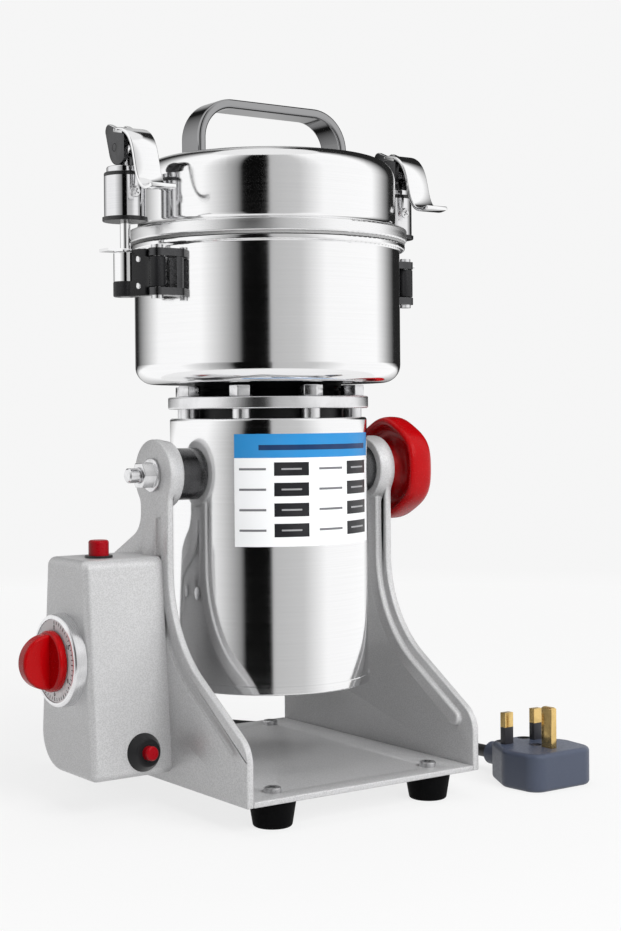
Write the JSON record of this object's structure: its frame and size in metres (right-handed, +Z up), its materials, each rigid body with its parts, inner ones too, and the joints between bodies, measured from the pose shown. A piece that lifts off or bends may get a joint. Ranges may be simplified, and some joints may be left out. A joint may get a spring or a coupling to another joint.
{
  "type": "electric powder grinder",
  "caption": "Swing-type electric powder grinder: a polished motor and lidded pot that tilt between the uprights of a stand, with a timer box, side clamps, lock knob and corded plug.",
  "frame": {"origin": "on the floor under the vertical motor axis, in the plane of the rubber feet", "axes": "+Z up along the motor axis at rest, -Y to the front, +X to the lock knob side"},
  "size_m": [0.2965, 0.3317, 0.38],
  "materials": {
    "silver_paint": "silver-grey sand-textured paint",
    "polished_stainless": "mirror-polished stainless steel",
    "zinc_steel": "bright zinc-plated steel",
    "blade_steel": "ground stainless blade steel",
    "cast_aluminium": "turned cast aluminium",
    "black_rubber": "matt black rubber",
    "red_plastic": "glossy red plastic",
    "black_plastic": "matt black plastic",
    "dial_white": "white dial face",
    "black_paint": "black painted steel",
    "laminated_iron": "laminated iron",
    "copper": "copper winding and bars",
    "plug_plastic": "dark blue-grey moulded plastic",
    "plug_brass": "bright brass"
  },
  "bodies": {
    "stand": {"base_plate": "silver_paint", "rubber_feet": "black_rubber", "foot_screws": "zinc_steel", "left_upright": "silver_paint", "right_upright": "silver_paint", "control_box": "silver_paint", "box_back_plate": "silver_paint", "box_screws": "zinc_steel", "timer_bezel": "cast_aluminium", "timer_dial": "dial_white", "timer_mechanism": "black_plastic", "overload_breaker": "black_plastic", "start_switch": "black_plastic", "pivot_bolt": "zinc_steel", "pivot_nut": "zinc_steel", "cord_strain_relief": "black_rubber", "power_cord_lead": "black_rubber", "power_cord_coil": "black_rubber", "power_cord_tail": "black_rubber", "plug_body": "plug_plastic", "plug_pins": "plug_brass", "plug_screws": "plug_brass"},
    "grinder": {"motor_housing": "polished_stainless", "motor_base_cap": "zinc_steel", "trunnion_pads": "zinc_steel", "neck_ring": "cast_aluminium", "neck_bolts": "zinc_steel", "neck_gasket": "black_rubber", "shaft_bearings": "zinc_steel", "stator_core": "laminated_iron", "field_coils": "copper", "brush_holders": "black_plastic", "grinding_pot": "polished_stainless", "shaft_seal": "black_rubber", "clamp_brackets": "zinc_steel", "clamp_hinge_pins": "zinc_steel"},
    "rotor": {"rotor_shaft": "zinc_steel", "armature_core": "laminated_iron", "commutator": "copper", "cooling_fan": "black_plastic", "grinding_blades": "blade_steel", "blade_spacer": "zinc_steel", "blade_nut": "zinc_steel"},
    "lid": {"lid_shell": "polished_stainless", "lid_band": "polished_stainless", "lid_gasket": "black_rubber", "lid_handle": "polished_stainless"},
    "left_clamp": {"left_clamp_link": "black_paint", "left_clamp_rod": "polished_stainless"},
    "left_cup": {"left_clamp_cup": "polished_stainless"},
    "left_lever": {"left_clamp_lever": "polished_stainless"},
    "right_clamp": {"right_clamp_link": "black_paint", "right_clamp_rod": "polished_stainless"},
    "right_cup": {"right_clamp_cup": "polished_stainless"},
    "right_lever": {"right_clamp_lever": "polished_stainless"},
    "lock_knob": {"lock_knob": "red_plastic", "lock_stud": "zinc_steel"},
    "timer_knob": {"timer_knob": "red_plastic"},
    "reset_button": {"reset_button": "red_plastic"},
    "start_button": {"start_button": "red_plastic"}
  },
  "joints": [
    {"name": "tilt", "type": "hinge", "parent": "stand", "child": "grinder", "pos_m": [0, 0, 0.176], "axis": [1, 0, 0], "range_deg": [0, 110]},
    {"name": "lock_knob_turn", "type": "hinge", "parent": "stand", "child": "lock_knob", "pos_m": [0.0758, 0, 0.176], "axis": [1, 0, 0], "range_deg": [0, 360]},
    {"name": "timer_turn", "type": "hinge", "parent": "stand", "child": "timer_knob", "pos_m": [-0.122, 0.0125, 0.08], "axis": [1, 0, 0], "range_deg": [0, 300]},
    {"name": "reset_press", "type": "slide", "parent": "stand", "child": "reset_button", "axis": [0, 0.9969, -0.079], "range_m": [0, 0.0025], "stiffness_N_per_m": 400, "springref_m": -0.002},
    {"name": "start_press", "type": "slide", "parent": "stand", "child": "start_button", "axis": [0, 0, -1], "range_m": [0, 0.003], "stiffness_N_per_m": 400, "springref_m": -0.002},
    {"name": "rotor_spin", "type": "hinge", "parent": "grinder", "child": "rotor", "pos_m": [0, 0, 0.2], "axis": [0, 0, 1], "continuous": true},
    {"name": "lid_lift", "type": "slide", "parent": "grinder", "child": "lid", "axis": [0, 0, 1], "range_m": [0, 0.12]},
    {"name": "left_clamp_swing", "type": "hinge", "parent": "grinder", "child": "left_clamp", "pos_m": [-0.083, -0.02, 0.28], "axis": [0, 0, 1], "range_deg": [-7, 40]},
    {"name": "left_lever_flip", "type": "hinge", "parent": "left_clamp", "child": "left_lever", "pos_m": [-0.0906, 0, 0.349], "axis": [-1, 0, 0], "range_deg": [0, 70]},
    {"name": "left_cup_rise", "type": "slide", "parent": "left_clamp", "child": "left_cup", "axis": [0, 0, 1], "range_m": [0, 0.0035]},
    {"name": "right_clamp_swing", "type": "hinge", "parent": "grinder", "child": "right_clamp", "pos_m": [0.083, -0.02, 0.28], "axis": [0, 0, -1], "range_deg": [-7, 40]},
    {"name": "right_lever_flip", "type": "hinge", "parent": "right_clamp", "child": "right_lever", "pos_m": [0.0906, 0, 0.349], "axis": [-1, 0, 0], "range_deg": [0, 70]},
    {"name": "right_cup_rise", "type": "slide", "parent": "right_clamp", "child": "right_cup", "axis": [0, 0, 1], "range_m": [0, 0.0035]}
  ],
  "couplings": [
    {"joint": "left_lever_flip", "follows": "left_cup_rise", "rad_per_m": 349.07},
    {"joint": "right_lever_flip", "follows": "right_cup_rise", "rad_per_m": 349.07}
  ]
}
